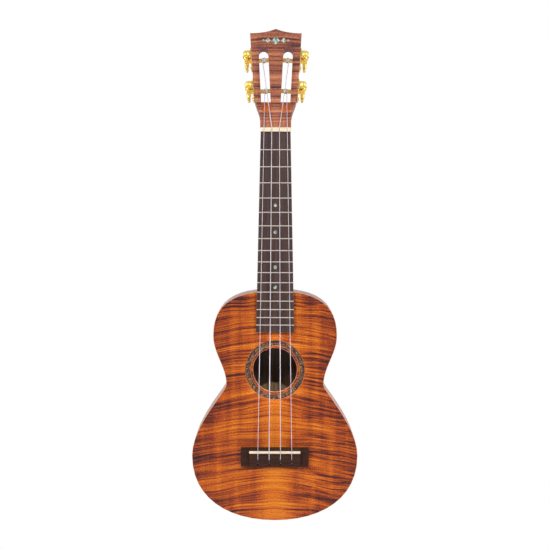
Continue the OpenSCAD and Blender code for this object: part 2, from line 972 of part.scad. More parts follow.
module driver_slot(top, head_r) {
    translate([top - driver_depth, -head_r - OVER, -driver_w / 2])
        cube([driver_depth + OVER, 2 * (head_r + OVER), driver_w]);
}

module gear_screw(t) {
    color(gold) in_tuner(t)
        translate([worm_out + gear_w / 2, 0, 0]) difference() {
            union() {
                along_x(gear_screw_head_h, gear_screw_head_r);
                translate([-gear_screw_l, 0, 0]) along_x(gear_screw_l, gear_screw_r);
            }
            driver_slot(gear_screw_head_h, gear_screw_head_r);
        }
}

// Turns of string on the post, starting where the straight string meets it
module winding(t) {
    i = TUNER_STRING[t];
    r = string_d[i] / 2;
    level = TUNER_LEVEL[t];
    x = (wrap_x[1 - level] - head_half_w(post_at[level])) / cos(side_slant);
    color(nylon) in_tuner(t) translate([x, 0, 0])
        for (k = [0:winding_turns - 1])
            translate([-k * winding_pitch * string_d[i], 0, 0]) rotate([0, 90, 0])
                rotate_extrude() translate([post_r + r, 0]) circle(r = r);
}

module tuner_screws() {
    color(gold)
        for (t = [0:len(TUNERS) - 1]) for (y = screw_at)
            in_tuner(t) translate([0, y, 0]) difference() {
                union() {
                    translate([-screw_l, 0, 0]) along_x(screw_l + tuner_plate_t, screw_r);
                    translate([tuner_plate_t, 0, 0]) along_x(screw_head_h, screw_head_r);
                }
                driver_slot(tuner_plate_t + screw_head_h, screw_head_r);
            }
}

soundboard();
rosette();
back_plate();
side_shell(-1);  // side_left
side_shell(1);  // side_right
top_lining(-1);  // top_lining_left
top_lining(1);  // top_lining_right
back_lining(-1);  // back_lining_left
back_lining(1);  // back_lining_right
neck_block();
tail_block();
top_brace(upper_brace_y);  // upper_cross_brace
top_brace(lower_brace_y);  // lower_cross_brace
fan_braces();
bridge_plate();
back_braces();
bridge();
saddle();
neck();
heel_cap();
headstock_veneer();
headstock_inlay();
fretboard();
frets();
position_dots();
nut();
tuner_screws();
for (i = [0:string_count - 1])
    string_piece(i);
for (t = [0:len(TUNERS) - 1]) {
    tuner_plate(t);
    worm_shaft(t);
    button(t);
    post(t);
    gear(t);
    gear_screw(t);
    winding(t);
}
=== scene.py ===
# Looks for the concert ukulele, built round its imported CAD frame.
import json
import math

import bmesh
import bpy
from mathutils import Matrix, Vector


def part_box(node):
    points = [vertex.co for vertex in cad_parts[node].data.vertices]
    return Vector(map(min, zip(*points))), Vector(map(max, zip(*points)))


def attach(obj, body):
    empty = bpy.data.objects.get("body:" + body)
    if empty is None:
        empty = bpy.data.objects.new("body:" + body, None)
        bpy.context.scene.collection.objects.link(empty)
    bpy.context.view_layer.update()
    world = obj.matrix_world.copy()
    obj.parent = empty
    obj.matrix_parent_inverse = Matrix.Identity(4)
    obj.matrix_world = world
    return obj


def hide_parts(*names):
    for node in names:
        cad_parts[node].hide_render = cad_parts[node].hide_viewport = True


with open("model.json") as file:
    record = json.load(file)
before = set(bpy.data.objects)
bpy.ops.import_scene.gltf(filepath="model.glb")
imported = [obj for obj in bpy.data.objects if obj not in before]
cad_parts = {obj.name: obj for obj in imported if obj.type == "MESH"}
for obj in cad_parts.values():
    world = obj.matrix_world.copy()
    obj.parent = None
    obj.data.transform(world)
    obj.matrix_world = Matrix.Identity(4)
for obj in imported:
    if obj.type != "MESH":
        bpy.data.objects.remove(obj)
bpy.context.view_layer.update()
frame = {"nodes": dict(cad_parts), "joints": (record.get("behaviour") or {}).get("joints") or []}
nodes = frame["nodes"]
joints = {j["name"]: j for j in frame["joints"]}
scene = bpy.context.scene
MM = 0.001
TAU = 2 * math.pi

# Places taken from the frame, in metres
body_low, body_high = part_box("soundboard")
rosette_low, rosette_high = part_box("rosette")
hole = Vector((0, 0, (rosette_low.z + rosette_high.z) / 2))
tail_z, shoulder_z = body_low.z, body_high.z
rosette_inner = min(math.hypot(v.co.x, v.co.z - hole.z)
                    for v in nodes["rosette"].data.vertices)


def srgb(r, g, b):
    """An 8-bit sRGB colour as the linear one that shaders take."""
    def linear(c):
        c /= 255
        return c / 12.92 if c <= 0.04045 else ((c + 0.055) / 1.055) ** 2.4
    return (linear(r), linear(g), linear(b), 1.0)


# ---------------------------------------------------------------- shader helpers

class Shader:
    """A material with short calls for the nodes that it is made of."""

    def __init__(self, name, **values):
        material = bpy.data.materials.new(name)
        material.use_nodes = True
        self.begin(material, values)

    @classmethod
    def of(cls, material):
        """Goes on with a material that is already there."""
        shader = cls.__new__(cls)
        shader.begin(material, {})
        return shader

    def begin(self, material, values):
        """Adds the place on the object, in mm, and sets the shader's constant values."""
        self.material = material
        self.tree = material.node_tree
        self.bsdf = self.tree.nodes["Principled BSDF"]
        coords = self.add("ShaderNodeTexCoord")
        scale = self.add("ShaderNodeVectorMath", operation="SCALE")
        self.tree.links.new(coords.outputs["Object"], scale.inputs[0])
        scale.inputs["Scale"].default_value = 1 / MM
        parts = self.add("ShaderNodeSeparateXYZ")
        self.tree.links.new(scale.outputs[0], parts.inputs[0])
        self.x, self.y, self.z = parts.outputs
        for socket, value in values.items():
            self.bsdf.inputs[socket.replace("_", " ")].default_value = value

    def add(self, kind, **settings):
        """A new node with its settings."""
        node = self.tree.nodes.new(kind)
        for key, value in settings.items():
            setattr(node, key, value)
        return node

    def feed(self, socket, value):
        """Links another node's output to a socket, or sets it to a constant."""
        if isinstance(value, bpy.types.NodeSocket):
            self.tree.links.new(value, socket)
        else:
            socket.default_value = value

    def math(self, operation, a, b=0.0, c=0.0):
        node = self.add("ShaderNodeMath", operation=operation)
        for socket, value in zip(node.inputs, (a, b, c)):
            self.feed(socket, value)
        return node.outputs[0]

    def vector(self, x, y=0.0, z=0.0):
        node = self.add("ShaderNodeCombineXYZ")
        for socket, value in zip(node.inputs, (x, y, z)):
            self.feed(socket, value)
        return node.outputs[0]

    def spread(self, x, y, z):
        """The place on the object with its axes scaled to so many waves per mm."""
        return [self.math("MULTIPLY", part, often)
                for part, often in zip((self.x, self.y, self.z), (x, y, z))]

    def noise(self, x, y=0.0, z=0.0, detail=2.0, roughness=0.5):
        node = self.add("ShaderNodeTexNoise")
        self.feed(node.inputs["Vector"], self.vector(x, y, z))
        node.inputs["Scale"].default_value = 1.0
        node.inputs["Detail"].default_value = detail
        node.inputs["Roughness"].default_value = roughness
        return node.outputs["Fac"]

    def cells(self, x, y=0.0, z=0.0, feature="F1"):
        node = self.add("ShaderNodeTexVoronoi", feature=feature)
        self.feed(node.inputs["Vector"], self.vector(x, y, z))
        node.inputs["Scale"].default_value = 1.0
        return node

    def remap(self, value, low, high, to_low=0.0, to_high=1.0, smooth=False):
        node = self.add("ShaderNodeMapRange",
                        interpolation_type="SMOOTHSTEP" if smooth else "LINEAR")
        for socket, v in zip(node.inputs, (value, low, high, to_low, to_high)):
            self.feed(socket, v)
        return node.outputs[0]

    def ramp(self, value, stops, mode="LINEAR"):
        node = self.add("ShaderNodeValToRGB")
        node.color_ramp.interpolation = mode
        while len(node.color_ramp.elements) < len(stops):
            node.color_ramp.elements.new(1.0)
        for element, (at, colour) in zip(node.color_ramp.elements, stops):
            element.position = at
            element.color = colour
        self.feed(node.inputs[0], value)
        return node.outputs[0]

    def mix(self, share, a, b, blend="MIX"):
        """Two colours mixed; sockets 6 and 7 are the colours of a mix node."""
        node = self.add("ShaderNodeMix", data_type="RGBA", blend_type=blend)
        self.feed(node.inputs[0], share)
        self.feed(node.inputs[6], a)
        self.feed(node.inputs[7], b)
        return node.outputs[2]

    def bump(self, height, strength, distance):
        """Lets a height, in metres, tilt the surface's shading."""
        node = self.add("ShaderNodeBump")
        node.inputs["Strength"].default_value = strength
        node.inputs["Distance"].default_value = distance
        self.feed(node.inputs["Height"], height)
        self.feed(self.bsdf.inputs["Normal"], node.outputs[0])

    def normal(self):
        """The surface's direction on the object: y is -1 on the front, z is 1 upwards."""
        coords = self.add("ShaderNodeTexCoord")
        parts = self.add("ShaderNodeSeparateXYZ")
        self.tree.links.new(coords.outputs["Normal"], parts.inputs[0])
        return parts.outputs

    def colour(self, value):
        """Sets the base colour, and gives the shader back."""
        self.feed(self.bsdf.inputs["Base Color"], value)
        return self


# Colours of the koa, from the darkest bands to the brightest, and its polish; the paler set, for
# the headstock veneer, is its own bands with a painted reflection, a whitish veil of glare,
# mixed in
KOA = [(0.0, srgb(44, 18, 22)), (0.2, srgb(84, 30, 22)), (0.42, srgb(142, 52, 14)),
       (0.64, srgb(186, 82, 12)), (0.84, srgb(214, 108, 14)), (1.0, srgb(232, 136, 26))]
KOA_WITH_PAINTED_GLARE = [(0.0, srgb(68, 40, 42)), (0.25, srgb(104, 58, 50)), (0.5, srgb(158, 90, 66)),
            (0.75, srgb(188, 114, 80)), (1.0, srgb(212, 148, 110))]
GLOSS = {"Coat_Weight": 0.5, "Coat_Roughness": 0.05}

# Layers of the figure: bands per mm across the grain, drift along it, and weight
FLAMED = ((0.055, 0.8, 0.75), (0.17, 1.0, 0.85), (0.36, 1.6, 1.05), (0.8, 3.0, 0.95))
MELLOW = ((0.05, 0.8, 1.0), (0.13, 1.0, 1.2), (0.3, 1.6, 0.8), (0.7, 3.0, 0.5))
LAYER_SEEDS = 3, 4           # the first layer's, and the step to the next
# Lengths are in mm, rates in waves per mm, and tones in shares of the colour ramp
CENTRE_ROUND = 70.0          # square of the width over which bands round the centre line
WARP_RATE = 0.016
WARP_DEPTH = 13.0
DRIFT_ALIKE = 0.007          # drift that both halves share
DRIFT_APART = 0.0025         # and what sets them apart
RIBBON_RATES = 0.085, 0.006  # stripes along the grain: across it, along it
RIBBON_WEIGHT = 0.75
RIBBON_SEED = 13
PORE_RATES = 0.85, 0.4
PORE_SEED = 17
FIRST_TONE = 0.63
MIDDLE_TONE = 0.64
CREASE = 0.43, 0.34, 0.2     # where a layer starts to darken, where it ends, by how much
GLOW_WIDTH = 15
GLOW_CALM = 0.45             # how much weaker the bands are on the centre line
GLOSSY_PORES = 0.42, 0.3     # roughness in the pores and between them


def curly(s, along, across, slope, seed, glow=0.0, rim=None, stops=KOA, layers=FLAMED,
          fibre=0.8, contrast=1.0):
    """Curly figure: flame bands that cross the grain and fall away from the centre line."""
    a = s.math("SQRT", s.math("MULTIPLY_ADD", across, across, CENTRE_ROUND))
    warp = s.noise(s.math("MULTIPLY", a, WARP_RATE), s.math("MULTIPLY", along, WARP_RATE),
                   seed, detail=1.0)
    band = s.math("MULTIPLY_ADD", a, slope, along)
    band = s.math("MULTIPLY_ADD", s.math("SUBTRACT", warp, 0.5), WARP_DEPTH, band)
    drift = s.math("MULTIPLY_ADD", across, DRIFT_APART, s.math("MULTIPLY", a, DRIFT_ALIKE))
    ribbon = s.noise(s.math("MULTIPLY", a, RIBBON_RATES[0]),
                     s.math("MULTIPLY", along, RIBBON_RATES[1]), seed + RIBBON_SEED,
                     detail=3.0, roughness=0.6)
    pores = s.noise(s.math("MULTIPLY", across, PORE_RATES[0]),
                    s.math("MULTIPLY", along, PORE_RATES[1]), seed + PORE_SEED,
                    detail=2.0, roughness=0.7)
    value = s.math("MULTIPLY_ADD", s.math("SUBTRACT", ribbon, 0.5), RIBBON_WEIGHT * contrast,
                   FIRST_TONE)
    first, step = LAYER_SEEDS
    for number, (often, sway, weight) in enumerate(layers):
        layer = s.noise(s.math("MULTIPLY", drift, sway), s.math("MULTIPLY", band, often),
                        seed + first + step * number, detail=2.0, roughness=0.6)
        value = s.math("MULTIPLY_ADD", s.math("SUBTRACT", layer, 0.5), weight * contrast, value)
        if number > 0:       # the widest bands have no creases
            dark = s.remap(layer, CREASE[0], CREASE[1], 0.0, CREASE[2], smooth=True)
            value = s.math("SUBTRACT", value, dark)
    if glow:
        bell = s.math("MULTIPLY", across, 1 / GLOW_WIDTH)
        bell = s.math("EXPONENT", s.math("MULTIPLY", s.math("MULTIPLY", bell, bell), -1.0))
        calm = s.math("MULTIPLY_ADD", bell, -GLOW_CALM, 1.0)
        value = s.math("MULTIPLY_ADD", s.math("SUBTRACT", value, MIDDLE_TONE), calm,
                       MIDDLE_TONE)
        value = s.math("MULTIPLY_ADD", bell, glow, value)
    if rim is not None:
        value = s.math("SUBTRACT", value, rim)
    value = s.math("MULTIPLY_ADD", s.math("SUBTRACT", pores, 0.5), fibre, value)
    base = s.ramp(value, stops)
    s.feed(s.bsdf.inputs["Roughness"], s.remap(pores, 0.3, 0.7, *GLOSSY_PORES))
    return base


# Half widths of the body in tenths of a metre, from the tail to the shoulders
BOUTS = ((0.0, 0.30), (0.08, 0.74), (0.25, 0.98), (0.42, 0.84), (0.60, 0.57),
         (0.83, 0.73), (0.93, 0.58), (1.0, 0.30))
RIM_FROM, RIM_TO = 0.55, 1.02
RIM_DARK = 0.2


def top_rim(s):
    """How much darker a point of the top or back is for being near the outline."""
    share = s.remap(s.z, tail_z / MM, shoulder_z / MM)
    half = s.ramp(share, [(at, (w, w, w, 1.0)) for at, w in BOUTS], mode="CARDINAL")
    near = s.math("DIVIDE", s.math("ABSOLUTE", s.x), s.math("MULTIPLY", half, 100.0))
    return s.remap(near, RIM_FROM, RIM_TO, 0.0, RIM_DARK, smooth=True)


def from_hole(s):
    """A point's distance from the sound hole's axis, and its height over it, in mm."""
    dz = s.math("SUBTRACT", s.z, hole.z / MM)
    squares = s.math("ADD", s.math("MULTIPLY", s.x, s.x), s.math("MULTIPLY", dz, dz))
    return s.math("SQRT", squares), dz


RING_DARK = 0.36             # inside the rosette
HIGHLIGHT_EDGE_TILT = -0.84, -0.97     # of the normal: from the rounded edge, which gets a painted highlight, to the stained face


def koa_top():
    s = Shader("koa_soundboard", **GLOSS)
    radius, _ = from_hole(s)
    rosette_r = rosette_high.x / MM
    ring = s.remap(radius, rosette_r - 1, rosette_r, RING_DARK, 0.0)
    darker = s.math("ADD", top_rim(s), ring)
    face = curly(s, s.z, s.x, 0.13, 2.0, glow=0.24, rim=darker)
    # Painted highlight: where the top's rounded edge turns away from the front, it is painted a
    # pale peach
    edge = s.mix(s.remap(s.normal()[1], *HIGHLIGHT_EDGE_TILT), srgb(222, 146, 96), face)
    return s.colour(edge).material


INSIDE_TILT = -0.5, -0.8     # of the normal, on the back plate


def koa_back():
    """Polished outside, and bare and dusty inside, where the sound hole shows it."""
    s = Shader("koa_back", **GLOSS)
    outside = curly(s, s.z, s.x, 0.16, 41.0, glow=0.16, rim=top_rim(s))
    grain = s.noise(s.math("MULTIPLY", s.x, 0.22), s.math("MULTIPLY", s.z, 0.012), 5.0,
                    detail=3.0, roughness=0.6)
    inside = s.ramp(grain, [(0.34, srgb(80, 64, 47)), (0.5, srgb(110, 90, 65)),
                            (0.68, srgb(136, 114, 83))])
    inner = s.remap(s.normal()[1], *INSIDE_TILT)
    s.feed(s.bsdf.inputs["Coat Weight"],
           s.remap(inner, 0.0, 1.0, GLOSS["Coat_Weight"], 0.0))
    return s.colour(s.mix(inner, outside, inside)).material


def koa_sides():
    """The figure runs round the body, so it goes by height and width together."""
    s = Shader("koa_sides", **GLOSS)
    round_way = s.math("ADD", s.z, s.math("MULTIPLY", s.math("ABSOLUTE", s.x), 0.6))
    return s.colour(curly(s, round_way, s.y, 0.05, 67.0)).material


def koa_veneer():
    s = Shader("koa_veneer", Coat_Weight=0.2, Coat_Roughness=0.18, Specular_IOR_Level=0.3)
    # The paler stops are the veneer's bands with a painted reflection: the whitish veil of glare
    # off the tilted headstock
    return s.colour(curly(s, s.z, s.x, 0.02, 23.0, stops=KOA_WITH_PAINTED_GLARE, layers=MELLOW, fibre=1.0,
                          contrast=1.3)).material


STREAK_ACROSS, STREAK_ALONG = 0.35, 0.012
PORE_ACROSS, PORE_ALONG = 2.6, 0.12
PORE_BUMP = 0.12
PORE_DEPTH = 0.2 * MM


def grained(name, pale, dark, across, along, pore=0.3, seed=0.0, **values):
    """Straight-grained wood: streaks along the grain with fine dark pores."""
    s = Shader(name, **values)
    axes = {"x": s.x, "y": s.y, "z": s.z}
    u = axes[across[0]]
    w = axes[across[1]]
    v = axes[along]
    streak = s.noise(s.math("MULTIPLY", u, STREAK_ACROSS), s.math("MULTIPLY", w, STREAK_ACROSS),
                     s.math("MULTIPLY_ADD", v, STREAK_ALONG, seed), detail=3.0, roughness=0.6)
    pores = s.noise(s.math("MULTIPLY", u, PORE_ACROSS), s.math("MULTIPLY", w, PORE_ACROSS),
                    s.math("MULTIPLY_ADD", v, PORE_ALONG, seed + 5), detail=2.0, roughness=0.6)
    base = s.ramp(streak, [(0.28, dark), (0.72, pale)])
    shade = s.remap(pores, 0.36, 0.5, 1.0 - pore, 1.0)
    grey = s.add("ShaderNodeCombineColor")
    for socket in grey.inputs[:3]:
        s.feed(socket, shade)
    s.colour(s.mix(1.0, base, grey.outputs[0], blend="MULTIPLY"))
    s.bump(pores, PORE_BUMP, PORE_DEPTH)
    return s.material


RAMP_FRONT = -0.3, -0.42     # of the normal's y, where a slot's ramp faces the front
RAMP_UP = 0.5, 0.6           # and of its z, where it faces up


def neck_wood():
    """Stained wood, with painted light on the ramps of the string slots: faces that look to the
    front and up are a bright lit orange.
    """
    material = grained("neck_wood", srgb(186, 72, 24), srgb(128, 40, 14), "xy", "z", pore=0.2,
                       Roughness=0.42, Coat_Weight=0.12, Coat_Roughness=0.12,
                       Specular_IOR_Level=0.3)
    s = Shader.of(material)
    stained = s.bsdf.inputs["Base Color"].links[0].from_socket
    normal = s.normal()
    # Painted light: where a face looks to the front and up, as the slots' ramps do, the stained
    # colour gives way to a bright orange
    ramp = s.math("MULTIPLY", s.remap(normal[1], *RAMP_FRONT), s.remap(normal[2], *RAMP_UP))
    streak = s.noise(s.math("MULTIPLY", s.x, 1.2), s.math("MULTIPLY", s.z, 0.2), 3.0)
    bare = s.ramp(streak, [(0.3, srgb(226, 104, 22)), (0.7, srgb(250, 136, 36))])
    s.colour(s.mix(ramp, stained, bare))
    return material


def shell_inlay(name, size, seed):
    """Abalone: cells of green, blue, pink and cream, size mm wide, with a pearly coat."""
    s = Shader(name, Roughness=0.22, Coat_Weight=0.8, Coat_Roughness=0.04)
    wobble = s.noise(s.math("MULTIPLY", s.x, 0.5), s.math("MULTIPLY", s.z, 0.5), seed)
    u = s.math("MULTIPLY_ADD", wobble, 2.2, s.math("DIVIDE", s.x, size))
    v = s.math("MULTIPLY_ADD", wobble, -1.6, s.math("DIVIDE", s.z, size))
    cell = s.cells(u, v, seed)
    tone = s.noise(s.math("MULTIPLY", u, 1.3), s.math("MULTIPLY", v, 0.7), seed + 4, detail=3.0)
    split = s.add("ShaderNodeSeparateColor")
    s.feed(split.inputs[0], cell.outputs["Color"])
    pick = s.math("MULTIPLY_ADD", split.outputs[0], 0.5, s.math("MULTIPLY", tone, 0.55))
    s.colour(s.ramp(pick, [(0.18, srgb(50, 72, 78)), (0.34, srgb(84, 130, 124)),
                           (0.48, srgb(150, 196, 176)), (0.6, srgb(222, 226, 212)),
                           (0.72, srgb(176, 150, 176)), (0.86, srgb(120, 168, 140))]))
    return s.material


CHIP = 1.15                  # width of a chip, in mm
CHIP_LENGTH = 1.5            # in widths
CHEVRON = 0.75               # how far the chips slant back from the middle of the ring
GAP_LINE = 0.04, 0.12        # share of a chip, from the dark line to the chip's colour
BORDER = 0.5, 0.3            # mm from the ring's edges, where the dark border begins and ends


def mosaic_ring():
    """The rosette: slanted chips in a chevron round the sound hole, on a dark ground."""
    s = Shader("rosette_mosaic", Roughness=0.35, Coat_Weight=0.3, Coat_Roughness=0.1)
    radius, dz = from_hole(s)
    inner, outer = rosette_inner / MM, rosette_high.x / MM
    middle = (inner + outer) / 2
    off = s.math("ABSOLUTE", s.math("SUBTRACT", radius, middle))
    turn = s.math("ARCTAN2", s.x, dz)
    around = s.math("MULTIPLY_ADD", off, CHEVRON, s.math("MULTIPLY", turn, middle))
    around = s.math("DIVIDE", around, CHIP)
    outward = s.math("DIVIDE", radius, CHIP_LENGTH * CHIP)
    tile = s.cells(around, outward)
    gap = s.cells(around, outward, feature="DISTANCE_TO_EDGE")
    split = s.add("ShaderNodeSeparateColor")
    s.feed(split.inputs[0], tile.outputs["Color"])
    tiles = s.ramp(split.outputs[0], [
        (0.0, srgb(64, 38, 28)), (0.2, srgb(134, 80, 44)), (0.36, srgb(86, 54, 52)),
        (0.48, srgb(156, 110, 68)), (0.6, srgb(92, 88, 80)), (0.72, srgb(178, 136, 92)),
        (0.84, srgb(118, 62, 44)), (0.92, srgb(126, 116, 78))], mode="CONSTANT")
    line = s.remap(gap.outputs["Distance"], *GAP_LINE)
    half = (outer - inner) / 2
    edge = s.remap(off, half - BORDER[0], half - BORDER[1])
    ground = srgb(40, 28, 26)
    chips = s.mix(line, ground, tiles)
    s.colour(s.mix(edge, chips, ground))
    return s.material


def gold():
    s = Shader("gold_plate", Metallic=0.5)
    tone = s.noise(*s.spread(0.08, 0.08, 0.08))
    s.colour(s.ramp(tone, [(0.3, srgb(255, 212, 96)), (0.7, srgb(255, 234, 144))]))
    s.feed(s.bsdf.inputs["Roughness"], s.remap(tone, 0.3, 0.7, 0.26, 0.18))
    return s.material


def metal(name, pale, dark, rough):
    """Brushed metal, with its lines along x."""
    s = Shader(name, Metallic=0.3)
    brushed = s.noise(*s.spread(0.15, 3.0, 3.0))
    s.colour(s.ramp(brushed, [(0.3, dark), (0.7, pale)]))
    s.feed(s.bsdf.inputs["Roughness"], s.remap(brushed, 0.3, 0.7, rough + 0.08, rough))
    return s.material


def bone(name, pale, dark):
    s = Shader(name, Roughness=0.36, Coat_Weight=0.25, Coat_Roughness=0.15,
               Subsurface_Weight=0.15, Subsurface_Scale=0.002)
    cloud = s.noise(*s.spread(0.09, 0.4, 0.4), detail=3.0)
    s.colour(s.ramp(cloud, [(0.3, dark), (0.7, pale)]))
    return s.material


def nylon():
    s = Shader("nylon", Roughness=0.3)
    tone = s.noise(*s.spread(0.05, 0.05, 0.05))
    s.colour(s.ramp(tone, [(0.35, srgb(200, 190, 202)), (0.65, srgb(222, 214, 224))]))
    return s.material


MATERIALS = {
    "soundboard": koa_top(),
    "back": koa_back(),
    "sides": koa_sides(),
    "veneer": koa_veneer(),
    "neck": neck_wood(),
    "board": grained("fretboard_rosewood", srgb(90, 62, 56), srgb(50, 33, 31), "xy", "z",
                     pore=0.45, seed=9.0, Roughness=0.5, Coat_Weight=0.12,
                     Coat_Roughness=0.3),
    "bridge": grained("bridge_rosewood", srgb(76, 40, 24), srgb(40, 20, 10), "yz", "x",
                      pore=0.4, seed=19.0, Roughness=0.62, Specular_IOR_Level=0.25),
    "inner": grained("bare_spruce", srgb(206, 168, 116), srgb(176, 134, 84), "xy", "z",
                     pore=0.12, seed=29.0, Roughness=0.7),
    "block": grained("bare_mahogany", srgb(150, 92, 60), srgb(112, 62, 40), "xy", "z",
                     pore=0.2, seed=31.0, Roughness=0.7),
    "rosette": mosaic_ring(),
    "inlay": shell_inlay("abalone_inlay", 2.2, 3.0),
    "dots": shell_inlay("abalone_dots", 1.8, 8.0),
    "gold": gold(),
    "frets": metal("nickel_silver", srgb(240, 230, 214), srgb(224, 214, 196), 0.3),
    "nut": bone("nut_bone", srgb(248, 234, 206), srgb(240, 222, 188)),
    "saddle": bone("saddle_bone", srgb(252, 234, 208), srgb(240, 218, 188)),
    "nylon": nylon(),
}


# ---------------------------------------------------------------- CAD pieces kept

# The material of each wooden or single node, and how far its edges are rounded, in mm
FINISHES = {
    "soundboard": ("soundboard", 1.2),
    "back_plate": ("back", 0.9),
    "rosette": ("rosette", 0.0),
    "bridge": ("bridge", 0.6),
    "bridge_plate": ("bridge", 0.2),
    "saddle": ("saddle", 0.5),
    "neck": ("neck", 0.8),
    "heel_cap": ("board", 0.4),
    "headstock_veneer": ("veneer", 0.3),
    "headstock_inlay": ("inlay", 0.0),
    "fretboard": ("board", 0.3),
    "frets": ("frets", 0.15),
    "position_dots": ("dots", 0.0),
    "nut": ("nut", 0.4),
    "neck_block": ("block", 0.3),
    "tail_block": ("block", 0.3),
}
WELD_GAP = 0.004 * MM
LEAST_ROUNDING = 0.05        # mm
FINE_ROUNDING = 0.2          # mm, up to which two segments are enough
SHARP_ANGLE = math.radians(32)


def finish_of(node):
    """A CAD node's material and rounding, by its name or its kind."""
    if node in FINISHES:
        return FINISHES[node]
    if node.startswith("side_"):
        return "sides", 0.0
    if node.startswith("string_") or node.endswith("_winding"):
        return "nylon", 0.0
    if "lining" in node or "brace" in node:
        return "inner", 0.4
    return "gold", 0.18


def soften(piece, width):
    """Rounds a piece's edges and shades its curved faces smoothly."""
    mesh = piece.data
    for layer in ("custom_normal", "sharp_edge"):
        if layer in mesh.attributes:
            mesh.attributes.remove(mesh.attributes[layer])
    mesh.polygons.foreach_set("use_smooth", [True] * len(mesh.polygons))
    weld = piece.modifiers.new("weld", "WELD")
    weld.merge_threshold = WELD_GAP
    bevel = piece.modifiers.new("round", "BEVEL")
    bevel.width = max(width, LEAST_ROUNDING) * MM
    bevel.segments = 3 if width > FINE_ROUNDING else 2
    bevel.limit_method = "ANGLE"
    bevel.angle_limit = SHARP_ANGLE
    bevel.harden_normals = True
    bevel.use_clamp_overlap = True


for name, piece in nodes.items():
    kind, rounding = finish_of(name)
    piece.data.materials.clear()
    piece.data.materials.append(MATERIALS[kind])
    soften(piece, rounding)


# ---------------------------------------------------------------- tuner pieces

def tuner_matrix(tuner):
    """From the tuner's own frame to the row frame: x out along the post, z to the front."""
    post = joints[tuner + "_post_turn"]
    key = joints[tuner + "_key_turn"]
    out, front = Vector(post["axis"]), Vector(key["axis"])
    up = front.cross(out)
    if up.z < 0:
        up = -up
    centre = Vector(post["pos_m"])
    rows = [[out[i], up[i], front[i], centre[i]] for i in range(3)]
    return Matrix(rows + [[0, 0, 0, 1]])


def grid_piece(name, rings, place, material):
    """A mesh from rings of points of equal length, capped at both ends."""
    mesh = bmesh.new()
    made = [[mesh.verts.new(place @ Vector(p)) for p in ring] for ring in rings]
    count = len(rings[0])
    for low, high in zip(made, made[1:]):
        for i in range(count):
            j = (i + 1) % count
            mesh.faces.new((low[i], low[j], high[j], high[i]))
    mesh.faces.new(list(reversed(made[0])))
    mesh.faces.new(made[-1])
    bmesh.ops.recalc_face_normals(mesh, faces=mesh.faces)
    data = bpy.data.meshes.new(name)
    mesh.to_mesh(data)
    mesh.free()
    data.polygons.foreach_set("use_smooth", [True] * len(data.polygons))
    data.materials.append(material)
    piece = bpy.data.objects.new(name, data)
    scene.collection.objects.link(piece)
    return piece


def tube(name, path, radius, place, material, sides=10):
    """A round rod along a path."""
    points = [Vector(p) for p in path]
    rings = []
    side = None
    for k, point in enumerate(points):
        ahead = (points[min(k + 1, len(points) - 1)] - points[max(k - 1, 0)]).normalized()
        if side is None:
            side = ahead.orthogonal().normalized()
        side = (side - ahead * side.dot(ahead)).normalized()
        other = ahead.cross(side)
        rings.append([point + radius * (math.cos(a) * side + math.sin(a) * other)
                      for a in (TAU * i / sides for i in range(sides))])
    return grid_piece(name, rings, place, material)


def verts_of(node):
    """A node's points, in the row frame."""
    return [v.co.copy() for v in nodes[node].data.vertices]


def lathe(name, profile, centre, place, material, sides=40):
    """A piece turned on the worm's axis from (radius, height) points."""
    turns = [TAU * i / sides for i in range(sides)]
    rings = [[centre + Vector((r * math.cos(a), r * math.sin(a), z)) for a in turns]
             for r, z in profile]
    return grid_piece(name, rings, place, material)


def span(points, axis):
    """The lowest and highest value on one axis."""
    values = [p[axis] for p in points]
    return min(values), max(values)


CAP_R = 4.3 * MM
CAP_RISE = 2.4 * MM
CAP_GAP = 0.15 * MM
CAP_EDGE = 0.6 * MM
CAP_STEPS = 9
CAP_HUB = 0.05               # shares of the radius: where the flat base begins and ends
CAP_BASE = 0.93
CAP_TOP = 0.02
CAP_CHAMFER = 0.4            # share of the edge's height


def dome_cap(tuner, place, axis_at):
    """The domed cap that closes the front end of a worm's shaft."""
    back = place.inverted()
    front = span([back @ v for v in verts_of(tuner + "_plate")], 2)[1]
    base = front + CAP_GAP
    profile = [(CAP_R * CAP_HUB, base), (CAP_R * CAP_BASE, base),
               (CAP_R, base + CAP_EDGE * CAP_CHAMFER)]
    for k in range(CAP_STEPS + 1):
        a = math.pi / 2 * k / CAP_STEPS
        profile.append((CAP_R * max(math.cos(a), CAP_TOP),
                        base + CAP_EDGE + CAP_RISE * math.sin(a)))
    cap = lathe(tuner + "_cap", profile, Vector((axis_at.x, axis_at.y, 0)), place,
                MATERIALS["gold"])
    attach(cap, tuner + "_key")


BUTTON_SIDES = 56
BUTTON_RINGS = 20
BUTTON_TIP = 0.52            # thickness of the ears' ends, as a share of the hub's
BUTTON_THINNING = 1.4        # how late the ears thin out
BUTTON_OVAL = 2.6            # power of the outline's oval: 2 is an ellipse
BUTTON_WAIST = 0.2           # how far the outline is drawn in at the hub
BUTTON_SQUARE = 0.42         # how full the rounded edge is: 1 is a half circle
BUTTON_POLE = 0.04           # least size of a ring
DISH_DEPTH = 0.12            # the hollow on each ear, its place and its width
DISH_AT = 0.62
DISH_WIDTH = 0.2


